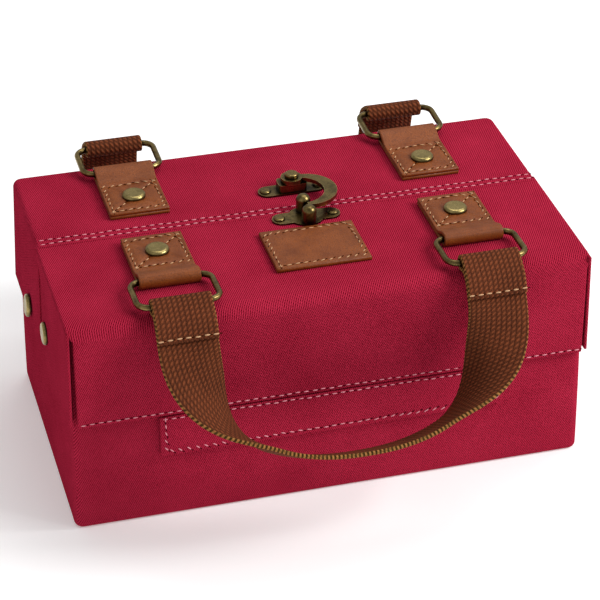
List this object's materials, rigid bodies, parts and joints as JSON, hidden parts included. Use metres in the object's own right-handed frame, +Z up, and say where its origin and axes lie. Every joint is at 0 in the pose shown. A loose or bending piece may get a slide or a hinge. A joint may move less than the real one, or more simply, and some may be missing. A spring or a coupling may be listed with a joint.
{
  "type": "lunch box",
  "caption": "Hard-sided fabric lunch box with a fold-up flap lid, leather tabs, webbing carry handles on metal rings and a swing clasp on top.",
  "frame": {"origin": "middle of the base, on the surface it stands on", "axes": "+Z up; -Y towards the front flap; +X to the right seen from the front"},
  "size_m": [0.2944, 0.2804, 0.1381],
  "materials": {
    "red_fabric": "coated twill weave",
    "lining": "smooth wipe-clean lining",
    "leather": "pull-up leather",
    "webbing": "ribbed cotton webbing",
    "brass": "antique, worn bright at edges",
    "touch_fastener": "looped pile",
    "base_board": "matt sheet"
  },
  "bodies": {
    "tub": {"tub_shell": "red_fabric", "base_board": "base_board", "tub_lining": "lining", "rear_hood": "red_fabric", "hinge_band": "red_fabric", "loop_strip": "touch_fastener", "side_rivets": "brass", "rear_left_tab": "leather", "rear_right_tab": "leather", "rear_tab_rivets": "brass", "clasp_base_plate": "brass", "clasp_base_rivets": "brass", "clasp_pivot": "brass"},
    "lid": {"lid_cover": "red_fabric", "lid_liner": "lining", "front_left_tab": "leather", "front_right_tab": "leather", "front_tab_rivets": "brass", "label_patch": "leather", "clasp_strike_post": "brass", "clasp_strike_rivets": "brass"},
    "tongue": {"tongue_flap": "red_fabric", "hook_strip": "touch_fastener"},
    "clasp_hook": {"clasp_hook": "brass"},
    "front_rings": {"front_left_ring": "brass", "front_right_ring": "brass"},
    "front_strap": {"front_strap": "webbing"},
    "rear_rings": {"rear_left_ring": "brass", "rear_right_ring": "brass"},
    "rear_strap": {"rear_strap": "webbing"}
  },
  "joints": [
    {"name": "lid_hinge", "type": "hinge", "parent": "tub", "child": "lid", "pos_m": [0, 0.008, 0.127], "axis": [-1, 0, 0], "range_deg": [0, 90]},
    {"name": "tongue_peel", "type": "hinge", "parent": "lid", "child": "tongue", "pos_m": [0, -0.0815, 0.0657], "axis": [-1, 0, 0], "range_deg": [0, 45]},
    {"name": "clasp_hook_swing", "type": "hinge", "parent": "tub", "child": "clasp_hook", "pos_m": [0.006, 0.028, 0.1332], "axis": [0, 0, 1], "range_deg": [0, 180]},
    {"name": "front_ring_swing", "type": "hinge", "parent": "lid", "child": "front_rings", "pos_m": [0, -0.051, 0.13105], "axis": [-1, 0, 0], "range_deg": [0, 60]},
    {"name": "front_strap_swing", "type": "hinge", "parent": "front_rings", "child": "front_strap", "pos_m": [0, -0.07798, 0.13199], "axis": [-1, 0, 0], "range_deg": [0, 41]},
    {"name": "rear_ring_swing", "type": "hinge", "parent": "tub", "child": "rear_rings", "pos_m": [0, 0.067, 0.13105], "axis": [1, 0, 0], "range_deg": [0, 60]},
    {"name": "rear_strap_swing", "type": "hinge", "parent": "rear_rings", "child": "rear_strap", "pos_m": [0, 0.09398, 0.13199], "axis": [1, 0, 0], "range_deg": [0, 41]}
  ],
  "couplings": [
    {"joint": "clasp_hook_swing", "follows": "lid_hinge", "ratio": 2},
    {"joint": "front_strap_swing", "follows": "front_ring_swing", "ratio": 0.667},
    {"joint": "rear_strap_swing", "follows": "rear_ring_swing", "ratio": 0.667}
  ]
}
